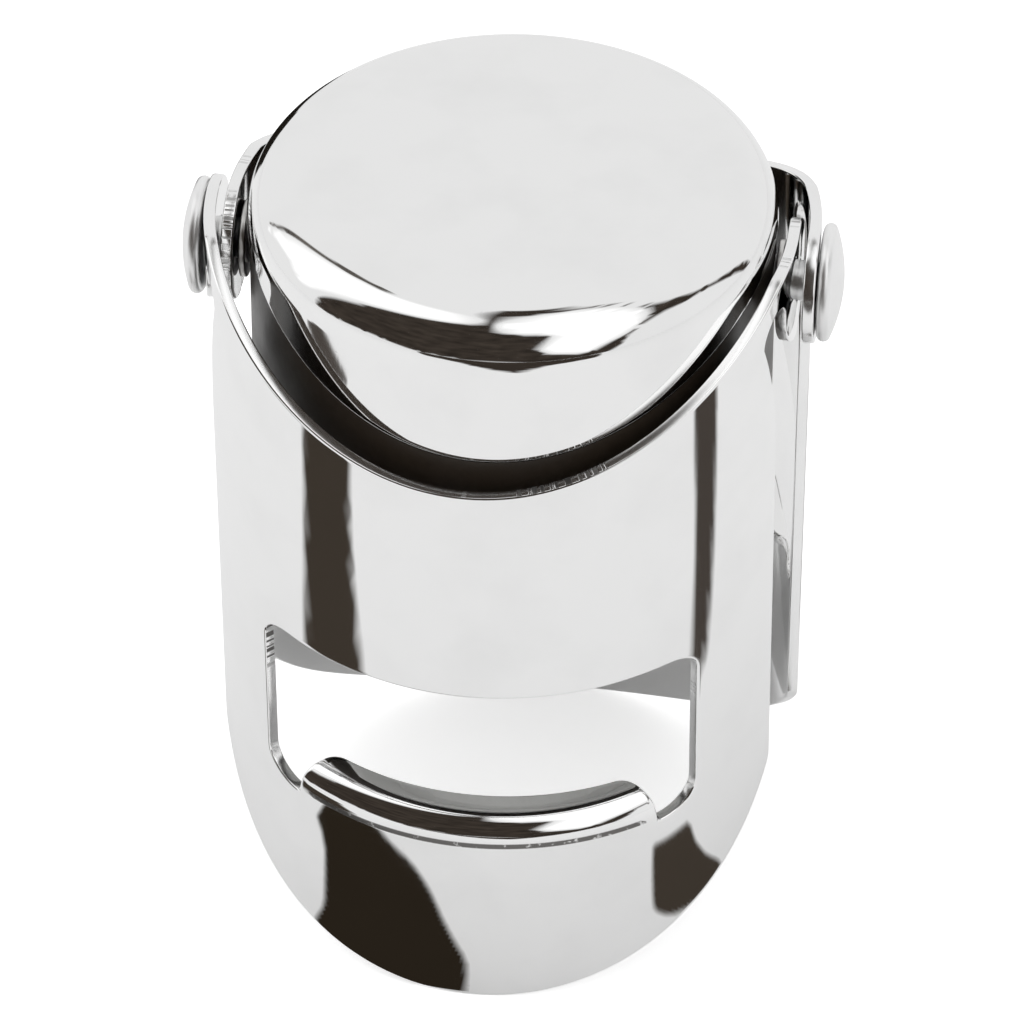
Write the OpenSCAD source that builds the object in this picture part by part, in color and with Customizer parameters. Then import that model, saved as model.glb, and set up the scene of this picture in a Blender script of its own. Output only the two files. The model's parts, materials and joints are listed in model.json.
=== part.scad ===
// Two-wing stopper for sparkling-wine bottles.
// The origin is the middle of the ring of the seal that lies on the bottle's mouth, +Z is up,
// and the wings face -Y (front) and +Y (rear). Their common pivot runs along X above the origin.

/* [Pivot] */
// Height of the wings' pivot above the sealing ring, with the spring at rest
pivot_h = 24; // [23:0.5:32]
// How far the seal can be pushed up against its spring
seal_travel = 3; // [1:0.25:3.25]

/* [Cap] */
// Outside diameter of the cap
cap_d = 39.2; // [37:0.1:40]
// Height of the cap's top above the pivot
cap_rise = 8.4; // [7.4:0.1:12]
// How far the front and back of the cap's rim hang below the pivot
cap_drop = 3.7; // [0:0.1:4]
// Wall of the pressed cap
cap_t = 0.8; // [0.5:0.1:1]
// Radius of the rounded edge round the cap's top
cap_edge_r = 3.6; // [2:0.1:5]
// Height of the cap's shallow crown
cap_crown = 0.35; // [0.1:0.05:0.6]
// Radius of the arch that the rim is cut to, seen from the front
rim_arc_r = 28; // [24:1:40]

/* [Wings] */
// Outside diameter of the half-round wings
wing_d = 44; // [43.5:0.5:56]
// Thickness of the wings' sheet
sheet_t = 0.9; // [0.6:0.05:1]
// Length of a wing below the pivot
wing_reach = 55.9; // [50:0.5:75]
// How far each wing leans in at its foot
wing_lean = 3.15; // [0:0.05:4]
// Distance of a wing's side edges from the pivot plane
edge_setback = 6.1; // [5.5:0.1:8]
// Radius of the shoulder at the top of each side edge
shoulder_r = 36; // [24:1:50]
// Depth of the shoulder's start below the pivot
shoulder_drop = 12.5; // [10:0.5:16]
// Radius of the ear round the rivet
ear_r = 4.6; // [4:0.1:5]
// How far the middle of the top edge hangs below the pivot
crest_drop = 4.2; // [3:0.1:8]
// Radius of the dip in the top edge, seen from the front
crest_arc_r = 30; // [28:1:40]
// Radius of the foot's tongue, on the flat sheet
tongue_r = 38; // [36:1:60]

/* [Windows and hooks] */
// Width of the window in each wing
window_w = 32.7; // [26:0.1:34]
// Depth of the window's top edge below the pivot
window_drop = 24.2; // [18:0.1:26]
// Depth of the window's lower edge below the pivot
window_foot = 40.2; // [36:0.1:44]
// Radius of the window's upper corners
window_top_r = 2; // [0.5:0.25:4]
// Radius of the window's lower corners
window_foot_r = 2.4; // [0.5:0.1:2.5]
// Width of the hook at its bend
hook_w = 27.4; // [20:0.1:27.4]
// Width of the hook at its free edge
hook_tip_w = 22; // [14:0.1:24]
// How far the middle of the hook's free edge stands in from the wing's outside
hook_reach = 3.45; // [3.2:0.05:5]
// Radius of the hook's free edge, seen from above
hook_edge_r = 20.9; // [17:0.1:30]
// Inside radius of the hook's bend
hook_bend_r = 1.2; // [0.4:0.1:1.5]
// Radius of the corners at the hook's free edge
hook_corner_r = 1.5; // [0.5:0.1:2]

/* [Rivets] */
// Diameter of the domed heads
head_d = 8.8; // [7:0.1:9]
// Height of the domed heads
head_h = 1.75; // [1.2:0.05:2.5]
// Radius of the heads' soft edge
head_edge_r = 0.5; // [0.2:0.05:0.55]
// Diameter of the rivets where the ears turn on them
journal_d = 3; // [2.4:0.1:3.4]
// Width of the shoulder between the journal and the thicker root
shoulder_w = 0.3; // [0.2:0.05:0.5]
// Depth of the roots' inner ends from the middle of the stopper
root_in = 9.4; // [9:0.1:11]
// Diameter of the plain washers behind the inner ears
washer_d = 5.8; // [5:0.1:6]
// Thickness of the plain washers
washer_t = 0.5; // [0.3:0.05:0.8]

/* [Core] */
// Diameter of the moulded core where it meets the cap's top
core_d = 30; // [27:0.5:31]
// Soft edge round the core's foot
core_edge = 0.8; // [0.3:0.1:1.5]
// How far the core reaches below the pivot
core_drop = 11.5; // [9:0.25:11.75]
// Diameter of the well that holds the spring
well_d = 14.4; // [13:0.1:14.6]
// Thickness of the web that the spring pushes on
web_t = 2.5; // [1.5:0.1:3]
// Diameter of the pocket for the retaining screw's head
pocket_d = 9.2; // [8.6:0.1:9.6]

/* [Seal and spring] */
// Diameter of the seal's collar
collar_d = 26; // [23:0.5:28]
// Radius of the collar's soft edges
collar_edge_r = 1; // [0.4:0.1:1.5]
// Diameter of the plug that enters the bottle
plug_d = 18.4; // [17.5:0.1:19]
// Length of the plug's straight part
plug_l = 4; // [3:0.5:6]
// Length of the plug's tapered nose
nose_l = 3; // [2:0.5:4]
// Diameter at the end of the plug's nose
nose_d = 15.4; // [14:0.1:16]
// Diameter of the plunger's stem
stem_d = 4.3; // [3.8:0.1:4.6]
// Diameter of the plunger's foot, which the seal is buttoned over
foot_d = 13.6; // [11:0.1:14]
// Diameter of the plunger's neck inside the seal
neck_d = 8; // [6:0.1:9]
// Diameter of the spring's wire
wire_d = 0.9; // [0.6:0.05:1]
// Mean diameter of the spring's turns
coil_d = 10.4; // [8:0.1:11]
// Turns of the spring
turns = 5; // [4:0.5:6]

/* [Retaining screw] */
// Diameter of the screw's head
screw_head_d = 5.6; // [5:0.1:6]
// Height of the screw's head
screw_head_h = 1.8; // [1.2:0.1:2]
// Diameter of the screw's shank
screw_d = 2.5; // [2:0.1:2.6]
// Length of the screw's shank below its head
screw_l = 8; // [6:0.5:9]
// Diameter of the washer under the screw's head
stop_washer_d = 8; // [7:0.1:8.2]
// Thickness of the washer under the screw's head
stop_washer_t = 0.6; // [0.4:0.1:0.8]

/* [Clearances] */
// Running clearance round the rivets and the plunger, on the radius
run_gap = 0.05; // [0.02:0.01:0.1]
// Gap between the cap's wall and the core, on the radius
cap_gap = 0.1; // [0.05:0.05:0.3]
// Side play between an ear and what it turns against
side_gap = 0.1; // [0.05:0.05:0.3]
// Room left above the seal and above the screw's head at the end of the travel
travel_gap = 0.3; // [0.2:0.05:0.5]

/* [Hidden] */

$fn = 96;
eps = 0.01;

cap_r = cap_d / 2;
wing_r = wing_d / 2;
wing_in_r = wing_r - sheet_t;

// Each wing is moved sideways, so that its one ear lies inside the other wing's ear
ear_sag = wing_in_r - sqrt(wing_in_r * wing_in_r - ear_r * ear_r);
ear_stagger = (sheet_t + ear_sag + side_gap) / 2;

// Where the rivets' heads, the washers and the rivets' shoulders come
root_d = journal_d + 2 * shoulder_w;
head_x = wing_r + ear_stagger + side_gap;
washer_sag = wing_in_r - sqrt(wing_in_r * wing_in_r - washer_d * washer_d / 4);
washer_x = wing_in_r - ear_stagger - washer_sag - side_gap;
shoulder_x = washer_x - washer_t;

// The notch between an ear and its wing is a round-topped slot that meets both edges
notch_z = 0.2;
notch_left = -edge_setback - shoulder_r
           + sqrt(pow(shoulder_r, 2) - pow(notch_z + shoulder_drop, 2));
notch_right = -sqrt(ear_r * ear_r - notch_z * notch_z);
notch_r = (notch_right - notch_left) / 2;

// The hook stands on a bend whose outside is one sheet thicker than its inside
hook_out_r = hook_bend_r + sheet_t;
hook_top = -window_foot + hook_out_r + 0.5;
hook_in_r = wing_r - hook_reach;
hook_edge_y = hook_edge_r - hook_in_r;

// Levels in the seal and the plunger, from the sealing ring
core_foot = pivot_h - core_drop;
collar_h = core_foot - seal_travel - travel_gap;
web_top = pivot_h + cap_rise - cap_t - cap_crown
        - seal_travel - travel_gap - screw_head_h - stop_washer_t;
web_foot = web_top - web_t;
groove_z = 4;
foot_h = 2;
disc_h = 3;
disc_top = core_foot + 1;
end_turns = 1;

// The cross recess in the retaining screw's head
recess_l = 3.2;
recess_w = 0.7;
recess_h = 1;

// The shape from x = 0 to the right, turned about the Z axis through the pivot
module turned_left() {
    rotate([0, 0, 180]) children();
}

// A cap's half section: a cup with a rounded edge and a shallow crown
module cup_section(radius, rise, edge) {
    crown_r = (pow(radius - edge, 2) + cap_crown * cap_crown) / (2 * cap_crown);
    shoulder = rise - cap_crown - edge;
    translate([0, -cap_drop - eps])
        square([radius, shoulder + cap_drop + eps]);
    translate([0, -cap_drop])
        square([radius - edge, rise - cap_crown + cap_drop]);
    translate([radius - edge, shoulder])
        circle(edge);
    intersection() {
        square([radius - edge, rise]);
        translate([0, rise - crown_r])
            circle(crown_r, $fn = 1440);
    }
}

// Everything above the arched rim, seen from the front, and a gap's width below it
module above_rim(gap = 0) {
    translate([0, cap_r + 1, rim_arc_r - cap_drop])
        rotate([90, 0, 0])
            cylinder(r = rim_arc_r + gap, h = cap_d + 2, $fn = 180);
}

module cap() {
    color("gainsboro")
        translate([0, 0, pivot_h])
            intersection() {
                rotate_extrude($fn = 180)
                    difference() {
                        intersection() {
                            cup_section(cap_r, cap_rise, cap_edge_r);
                            translate([0, -cap_drop - eps])
                                square([cap_r + 1, cap_rise + cap_drop + 1]);
                        }
                        translate([0, -cap_drop - 2 * eps])
                            square([cap_r - cap_t, cap_drop + 3 * eps]);
                        cup_section(cap_r - cap_t, cap_rise - cap_t, cap_edge_r - cap_t);
                    }
                above_rim();
            }
}

// The moulded core: it fills the cap, stands flush with it below the rim, carries both rivets
// and guides the plunger
module core() {
    skirt_r = cap_r - cap_t - cap_gap;
    seat_rise = cap_rise - cap_t - cap_crown;
    skirt_top = cap_rise - cap_crown - cap_edge_r;
    rim_side = rim_arc_r - cap_drop - sqrt(rim_arc_r * rim_arc_r - cap_r * cap_r);
    // flush with the cap, but clear of the washers on the rivets
    flush_r = min(cap_r, shoulder_x - cap_gap);
    color([0.13, 0.11, 0.1])
        difference() {
            union() {
                translate([0, 0, core_foot])
                    cylinder(d = core_d, h = core_drop + seat_rise);
                translate([0, 0, core_foot + core_edge])
                    cylinder(r = skirt_r, h = core_drop - core_edge + skirt_top);
                difference() {
                    union() {
                        translate([0, 0, core_foot])
                            cylinder(r1 = flush_r - core_edge, r2 = flush_r, h = core_edge);
                        translate([0, 0, core_foot + core_edge])
                            cylinder(r = flush_r, h = core_drop - core_edge + rim_side);
                    }
                    translate([0, 0, pivot_h])
                        above_rim(cap_gap);
                }
            }
            translate([0, 0, core_foot - 1])
                cylinder(d = well_d, h = web_foot - core_foot + 1);
            translate([0, 0, web_foot - 1])
                cylinder(r = stem_d / 2 + run_gap, h = web_t + 2);
            translate([0, 0, web_top])
                cylinder(d = pocket_d, h = cap_rise);
            for (side = [0, 180])
                translate([0, 0, pivot_h])
                    rotate([0, 90, side])
                        translate([0, 0, root_in])
                            cylinder(d = root_d, h = cap_r);
        }
}

// A wing's outline seen from its side, with the pivot at the middle: X here is the wing's Y
module side_outline() {
    difference() {
        union() {
            translate([-wing_r - 1, -wing_reach - 1])
                square([wing_r + 1 - edge_setback, wing_reach + 1 - shoulder_drop]);
            intersection() {
                translate([-edge_setback - shoulder_r, -shoulder_drop])
                    circle(shoulder_r, $fn = 180);
                translate([-wing_r - 1, -shoulder_drop - eps])
                    square([wing_r, shoulder_drop + ear_r + eps]);
            }
            translate([notch_left - 1, notch_z])
                square([-notch_left + 1, ear_r - notch_z]);
            circle(ear_r);
        }
        translate([notch_left + notch_r, notch_z])
            circle(notch_r);
    }
}

// Depth of the tongue's edge at an angle round the wing, from the arc on the flat sheet
function tongue_z(angle) =
    tongue_r - wing_reach - sqrt(pow(tongue_r, 2) - pow(wing_r * angle * PI / 180, 2));

// A wing's outline seen from the front, without its window
module front_outline() {
    // the tongue's edge runs just past the side edges
    half = acos(edge_setback / wing_r) + 2;
    steps = 52;
    difference() {
        polygon([
            for (step = [-steps / 2 : steps / 2])
                [wing_r * sin(2 * half * step / steps), tongue_z(2 * half * step / steps)],
            [wing_r + 1, ear_r + eps],
            [-wing_r - 1, ear_r + eps]
        ]);
        translate([0, crest_arc_r - crest_drop])
            circle(crest_arc_r, $fn = 180);
    }
}

module window_outline() {
    height = window_foot - window_drop;
    half = window_w / 2;
    translate([-half, -window_foot + window_foot_r])
        square([window_w, height - window_foot_r - window_top_r]);
    translate([-half + window_foot_r, -window_foot])
        square([window_w - 2 * window_foot_r, window_foot_r + 1]);
    translate([-half + window_top_r, -window_drop - window_top_r - 1])
        square([window_w - 2 * window_top_r, window_top_r + 1]);
    for (side = [-1, 1]) {
        translate([side * (half - window_foot_r), -window_foot + window_foot_r])
            circle(window_foot_r);
        translate([side * (half - window_top_r), -window_drop - window_top_r])
            circle(window_top_r);
    }
}

// The hook's section: up from the wing's wall, round the bend and flat towards the bottle
module hook_section() {
    bend_r = wing_r - hook_out_r;
    bend_z = hook_top - hook_out_r;
    translate([wing_in_r, -window_foot - 0.5])
        square([sheet_t, bend_z + window_foot + 0.5]);
    intersection() {
        translate([bend_r, bend_z])
            difference() {
                circle(hook_out_r);
                circle(hook_bend_r);
            }
        translate([bend_r, bend_z])
            square(hook_out_r + 1);
    }
    translate([hook_in_r - 1, hook_top - sheet_t])
        square([bend_r - hook_in_r + 1 + eps, sheet_t]);
}

// The hook seen from above: it narrows to its free edge, whose corners are rounded
module hook_plan() {
    middle = [0, hook_edge_y];
    root = [hook_w / 2, -sqrt(pow(wing_r, 2) - pow(hook_w / 2, 2))];
    tip = [hook_tip_w / 2, hook_edge_y - sqrt(pow(hook_edge_r, 2) - pow(hook_tip_w / 2, 2))];
    along = (tip - root) / norm(tip - root);
    out = [along[1], -along[0]];
    // Centre of the corner: one corner radius inside the slant and outside the free edge
    near = root - hook_corner_r * out - middle;
    ring = hook_edge_r + hook_corner_r;
    slope = near * along;
    centre = middle + near + (-slope - sqrt(slope * slope - near * near + ring * ring)) * along;
    difference() {
        polygon([
            [-root[0], -wing_r - 1], [root[0], -wing_r - 1],
            root, tip + 2 * along,
            [-tip[0] - 2 * along[0], tip[1] + 2 * along[1]], [-root[0], root[1]]
        ]);
        translate(middle)
            circle(hook_edge_r, $fn = 360);
        for (side = [0, 1])
            mirror([side, 0])
                difference() {
                    polygon([
                        centre,
                        centre + hook_corner_r * out,
                        centre + hook_corner_r * out + 4 * along,
                        centre + (middle - centre) * 4 / ring,
                        centre + (middle - centre) * hook_corner_r / ring
                    ]);
                    translate(centre)
                        circle(hook_corner_r);
                }
    }
}

module hook() {
    intersection() {
        rotate_extrude($fn = 180)
            hook_section();
        translate([0, 0, -window_foot - 1])
            linear_extrude(height = window_foot)
                hook_plan();
    }
}

// One wing of bent sheet, upright, with its pivot at the origin
module wing() {
    intersection() {
        translate([0, 0, -wing_reach - 1])
            linear_extrude(height = wing_reach + ear_r + 1)
                difference() {
                    union() {
                        circle(wing_r, $fn = 180);
                        translate([-wing_r, 0])
                            square([wing_d, ear_r + 1]);
                    }
                    circle(wing_in_r, $fn = 180);
                    translate([-wing_in_r, 0])
                        square([2 * wing_in_r, wing_r + 1]);
                }
        rotate([90, 0, 90])
            translate([0, 0, -wing_r - 1])
                linear_extrude(height = wing_d + 2)
                    side_outline();
        translate([0, ear_r + 1, 0])
            rotate([90, 0, 0])
                linear_extrude(height = wing_r + ear_r + 2)
                    difference() {
                        front_outline();
                        // the window is punched through the front wall only
                        window_outline();
                    }
    }
    hook();
}

// A wing in its place: leaned in, offset to the side and bored for the rivets
module placed_wing() {
    translate([0, 0, pivot_h])
        difference() {
            translate([-ear_stagger, 0, 0])
                rotate([wing_lean, 0, 0])
                    wing();
            translate([-wing_d, 0, 0])
                rotate([0, 90, 0])
                    cylinder(r = journal_d / 2 + run_gap, h = 2 * wing_d);
        }
}

module front_wing() {
    color("silver")
        placed_wing();
}

module rear_wing() {
    color("silver")
        turned_left()
            placed_wing();
}

// The right-hand rivet: root in the core, shoulder, journal for the ears and domed head
module rivet() {
    flat_r = head_d / 2 - head_edge_r;
    rise = head_h - head_edge_r;
    dome_r = (pow(flat_r, 2) + pow(rise, 2) - pow(head_edge_r, 2)) / (2 * (head_h - 2 * head_edge_r));
    translate([0, 0, pivot_h])
        rotate([0, 90, 0]) {
            translate([0, 0, root_in])
                cylinder(d = root_d, h = shoulder_x - root_in);
            translate([0, 0, shoulder_x - eps])
                cylinder(d = journal_d, h = head_x - shoulder_x + 2 * eps);
            translate([0, 0, head_x]) {
                cylinder(r = flat_r, h = 2 * head_edge_r - eps);
                translate([0, 0, head_edge_r])
                    rotate_extrude()
                        translate([flat_r, 0])
                            circle(head_edge_r, $fn = 48);
                intersection() {
                    translate([0, 0, head_h - dome_r])
                        sphere(dome_r, $fn = 180);
                    translate([0, 0, head_edge_r])
                        cylinder(r = flat_r + head_edge_r * flat_r / (dome_r - head_edge_r), h = head_h);
                }
            }
        }
}

module left_rivet() {
    color("gainsboro")
        turned_left()
            rivet();
}

module right_rivet() {
    color("gainsboro")
        rivet();
}

// The right-hand washer: on the journal, against the rivet's shoulder
module washer() {
    translate([shoulder_x, 0, pivot_h])
        rotate([0, 90, 0])
            difference() {
                cylinder(d = washer_d, h = washer_t);
                translate([0, 0, -1])
                    cylinder(r = journal_d / 2 + run_gap, h = washer_t + 2);
            }
}

module left_washer() {
    color("silver")
        turned_left()
            washer();
}

module right_washer() {
    color("silver")
        washer();
}

// The plunger: stem through the web, guide disc in the well, neck and foot inside the seal
module plunger() {
    color([0.85, 0.84, 0.8])
        difference() {
            union() {
                translate([0, 0, disc_top - eps])
                    cylinder(d = stem_d, h = web_top - disc_top + eps);
                translate([0, 0, disc_top - disc_h])
                    cylinder(r = well_d / 2 - run_gap, h = disc_h);
                translate([0, 0, groove_z])
                    cylinder(d = neck_d, h = disc_top - disc_h - groove_z + eps);
                translate([0, 0, groove_z])
                    cylinder(d = foot_d, h = foot_h);
            }
            translate([0, 0, web_top + stop_washer_t - screw_l])
                cylinder(d = screw_d, h = screw_l);
        }
}

// The rubber seal: collar on the bottle's mouth, plug in its neck, groove for the foot
module seal() {
    flat_r = collar_d / 2 - collar_edge_r;
    color([0.72, 0.72, 0.7])
        rotate_extrude()
            difference() {
                union() {
                    polygon([
                        [0, -plug_l - nose_l], [nose_d / 2, -plug_l - nose_l],
                        [plug_d / 2, -plug_l], [plug_d / 2, 0],
                        [flat_r, 0], [flat_r, collar_h], [0, collar_h]
                    ]);
                    translate([foot_d / 2 + eps, collar_edge_r])
                        square([(collar_d - foot_d) / 2 - eps, collar_h - 2 * collar_edge_r]);
                    for (level = [collar_edge_r, collar_h - collar_edge_r])
                        translate([flat_r, level])
                            circle(collar_edge_r, $fn = 48);
                }
                translate([-eps, groove_z])
                    square([foot_d / 2 + eps, foot_h]);
                translate([-eps, groove_z])
                    square([neck_d / 2 + eps, collar_h]);
            }
}

// The spring's centre line: its end turns lie flat and the rest climb evenly
function spring_lift(turn) =
    let (pitch_turns = turns - 2 * end_turns,
         rise = web_foot - disc_top - wire_d - 2 * end_turns * wire_d * 1.05)
    turn <= end_turns ? turn * wire_d * 1.05
    : turn >= turns - end_turns
        ? web_foot - disc_top - wire_d - (turns - turn) * wire_d * 1.05
    : end_turns * wire_d * 1.05 + rise * (turn - end_turns) / pitch_turns;

module spring() {
    sides = 8;
    rings = turns * 18;
    points = [
        for (ring = [0 : rings], side = [0 : sides - 1])
            let (turn = turns * ring / rings,
                 around = 360 * side / sides,
                 reach = coil_d / 2 + wire_d / 2 * cos(around))
            [reach * cos(360 * turn), reach * sin(360 * turn),
             disc_top + wire_d / 2 + spring_lift(turn) + wire_d / 2 * sin(around)]
    ];
    walls = [
        for (ring = [0 : rings - 1], side = [0 : sides - 1])
            let (next = (side + 1) % sides, here = ring * sides)
            [here + side, here + sides + side, here + sides + next, here + next]
    ];
    start = [for (side = [0 : sides - 1]) side];
    end = [for (side = [sides - 1 : -1 : 0]) rings * sides + side];
    color("lightgray")
        polyhedron(points, concat(walls, [start, end]));
}

// The screw from above into the stem: with its washer it stops the plunger on the web
module retaining_screw() {
    head_z = web_top + stop_washer_t;
    color("gray")
        difference() {
            union() {
                translate([0, 0, head_z])
                    cylinder(d = screw_head_d, h = screw_head_h);
                translate([0, 0, head_z - screw_l])
                    cylinder(d = screw_d, h = screw_l + eps);
            }
            for (turn = [0, 90])
                translate([0, 0, head_z + screw_head_h])
                    rotate([0, 0, turn])
                        cube([recess_l, recess_w, 2 * recess_h], center = true);
        }
}

module stop_washer() {
    color("silver")
        translate([0, 0, web_top])
            difference() {
                cylinder(d = stop_washer_d, h = stop_washer_t);
                translate([0, 0, -1])
                    cylinder(r = screw_d / 2 + run_gap, h = stop_washer_t + 2);
            }
}

cap();
core();
front_wing();
rear_wing();
left_rivet();
right_rivet();
left_washer();
right_washer();
plunger();
seal();
spring();
retaining_screw();
stop_washer();
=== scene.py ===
import json
import math

import bmesh
import bpy
import numpy as np
from mathutils import Matrix, Vector
from mathutils.geometry import delaunay_2d_cdt


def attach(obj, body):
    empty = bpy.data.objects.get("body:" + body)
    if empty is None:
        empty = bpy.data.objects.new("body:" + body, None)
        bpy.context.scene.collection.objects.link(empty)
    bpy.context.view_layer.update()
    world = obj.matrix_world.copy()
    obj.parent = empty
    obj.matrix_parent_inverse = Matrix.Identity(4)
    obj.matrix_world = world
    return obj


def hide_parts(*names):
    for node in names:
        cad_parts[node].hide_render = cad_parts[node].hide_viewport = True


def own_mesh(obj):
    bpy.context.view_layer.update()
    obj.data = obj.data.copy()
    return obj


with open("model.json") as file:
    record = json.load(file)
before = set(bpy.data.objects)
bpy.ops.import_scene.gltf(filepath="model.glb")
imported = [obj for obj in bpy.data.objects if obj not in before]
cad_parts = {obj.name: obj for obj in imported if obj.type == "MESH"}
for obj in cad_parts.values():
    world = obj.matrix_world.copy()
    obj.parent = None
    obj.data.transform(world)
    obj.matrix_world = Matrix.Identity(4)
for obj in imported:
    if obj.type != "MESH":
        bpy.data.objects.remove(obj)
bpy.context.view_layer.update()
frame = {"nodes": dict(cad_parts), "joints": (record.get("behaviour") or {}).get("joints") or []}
nodes = frame["nodes"]
mm = 0.001
pivotHeight = frame["joints"][0]["pos_m"][2] / mm
print("frame loaded:", len(nodes), "nodes")

# The long lens looks down on the cap from a little right of the front
cameraSettings = {
    "aim": (1.42, -11.83, 9.48), "distance": 557.6, "azimuth": 7.06, "elevation": 39.44,
    "roll": 0.055, "lens": 264.95, "sensor": 36.0,
}


def newObject(name, data):
    item = bpy.data.objects.new(name, data)
    bpy.context.scene.collection.objects.link(item)
    return item


def makeCamera(settings):
    a, e = math.radians(settings["azimuth"]), math.radians(settings["elevation"])
    back = Vector((math.sin(a) * math.cos(e), -math.cos(a) * math.cos(e), math.sin(e)))
    camera = newObject("camera", bpy.data.cameras.new("camera"))
    camera.data.lens, camera.data.sensor_width = settings["lens"], settings["sensor"]
    camera.data.clip_start, camera.data.clip_end = 0.05, 5
    camera.location = (Vector(settings["aim"]) + back * settings["distance"]) * mm
    turn = back.to_track_quat("Z", "Y").to_matrix()
    roll = Matrix.Rotation(math.radians(settings["roll"]), 3, "Z")
    camera.rotation_euler = (turn @ roll).to_euler()
    bpy.context.scene.camera = camera


makeCamera(cameraSettings)


# Every length below is in millimetres until toMesh
def toMesh(name, points, faces):
    mesh = bpy.data.meshes.new(name)
    places = [tuple(float(c) * mm for c in p) for p in points]
    mesh.from_pydata(places, [], [tuple(f) for f in faces])
    mesh.validate()
    solid = bmesh.new()
    solid.from_mesh(mesh)
    bmesh.ops.remove_doubles(solid, verts=solid.verts, dist=1e-7)
    bmesh.ops.recalc_face_normals(solid, faces=solid.faces)
    solid.to_mesh(mesh)
    solid.free()
    mesh.shade_smooth()
    return mesh


def addPiece(name, mesh, body, material, stands=()):
    piece = newObject(name, mesh)
    piece.data.materials.clear()
    piece.data.materials.append(material)
    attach(piece, body)
    if stands:
        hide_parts(*stands)
    return piece


def arcPoints(centre, radius, start, end, steps):
    angles = np.radians(np.linspace(start, end, steps + 1))
    return [(centre[0] + radius * math.cos(a), centre[1] + radius * math.sin(a)) for a in angles]


def softCorners(corners, steps=6):
    # corners: (r, z, softness); a softness above 0 becomes a tangent arc
    points = []
    count = len(corners)
    for i, (r, z, soft) in enumerate(corners):
        here = Vector((r, z))
        if soft <= 0 or i in (0, count - 1):
            points.append((r, z))
            continue
        before = (Vector(corners[i - 1][:2]) - here).normalized()
        after = (Vector(corners[i + 1][:2]) - here).normalized()
        half = before.angle(after) / 2
        reach = soft / math.tan(half)
        start, end = here + before * reach, here + after * reach
        centre = here + (before + after).normalized() * (soft / math.sin(half))
        a0 = math.atan2(*(start - centre).yx)
        sweep = (math.atan2(*(end - centre).yx) - a0 + math.pi) % (2 * math.pi) - math.pi
        for k in range(steps + 1):
            a = a0 + sweep * k / steps
            points.append((centre.x + soft * math.cos(a), centre.y + soft * math.sin(a)))
    return points


def lathe(profile, segments=128):
    # Turns a closed half section about Z; points on the axis become poles
    points, faces, rings = [], [], []
    for r, z in profile:
        if r < 1e-6:
            rings.append([len(points)] * segments)
            points.append((0, 0, z))
        else:
            first = len(points)
            rings.append([first + k for k in range(segments)])
            for k in range(segments):
                a = 2 * math.pi * k / segments
                points.append((r * math.cos(a), r * math.sin(a), z))
    closed = profile[0][0] > 1e-6
    for i in range(len(rings) if closed else len(rings) - 1):
        low, high = rings[i], rings[(i + 1) % len(rings)]
        for k in range(segments):
            n = (k + 1) % segments
            face = []
            for v in (low[k], low[n], high[n], high[k]):
                if v not in face:
                    face.append(v)
            if len(face) > 2:
                faces.append(face)
    return points, faces


# Each wing is a flat blank that is cut and then bent by a node tree
wing = {
    "radius": 22.0, "sheet": 0.9, "reach": 55.9, "lean": 3.15, "sideOffset": 0.754,
    "setback": 6.1, "shoulderRadius": 36.0, "shoulderDrop": 12.5,
    "earRadius": 4.6, "boreRadius": 1.58, "notchHeight": 0.2,
    "crestDrop": 4.2, "crestRadius": 30.0, "tongueRadius": 38.0, "footCornerRadius": 1.2,
    "windowHalf": 16.35, "windowTop": -24.2, "windowFoot": -40.2,
    "windowTopRadius": 2.0, "windowFootRadius": 2.4,
    "hookHalf": 13.7, "hookTipHalf": 11.0, "hookReach": 3.45, "hookEdgeRadius": 20.9,
    "hookBendRadius": 1.2, "hookRise": 0.5, "hookCornerRadius": 1.5,
    # the last width on the next line is how far the painted shade line at the hook's bend reaches
    "edgeSoftness": 0.14, "edgeSupport": 0.22, "grid": 0.7, "bendCreaseShade": 0.33,
    "lipHalf": 16.0, "lipClear": 4.0,  # only cells inside these limits bend as the hook
}
wing["quarter"] = math.pi / 2 * wing["radius"]
wing["hookOutRadius"] = wing["hookBendRadius"] + wing["sheet"]
wing["bendLevel"] = wing["windowFoot"] + wing["hookRise"]
wing["bendLength"] = wing["hookOutRadius"] * math.pi / 2


def alongFromX(x):
    return wing["radius"] * math.asin(max(-1, min(1, x / wing["radius"])))


def alongFromY(y):
    # distance along the outside of the U, from its front to the place with this Y
    if y > 0:
        return wing["quarter"] + y
    return wing["radius"] * math.acos(-y / wing["radius"])


def tongueLevel(along):
    w = wing
    return w["tongueRadius"] - w["reach"] - math.sqrt(w["tongueRadius"] ** 2 - along ** 2)


def evenly(points, spacing):
    # Resamples an open line at about this spacing, keeping its ends
    line = np.array(points, float)
    lengths = np.concatenate([[0], np.cumsum(np.hypot(*np.diff(line, axis=0).T))])
    count = max(1, int(round(lengths[-1] / spacing)))
    at = np.linspace(0, lengths[-1], count + 1)
    across, down = (np.interp(at, lengths, line[:, i]).tolist() for i in (0, 1))
    return list(zip(across, down))


def joined(*stretches):
    line = []
    for stretch in stretches:
        for point in stretch:
            if not line or math.dist(line[-1], point) > 0.02:
                line.append(point)
    return line


def mirrored(half):
    # half runs from the middle to the middle on the right; the left side comes back
    left = [(-s, z) for s, z in reversed(half) if s > 1e-6]
    return half + left


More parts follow.
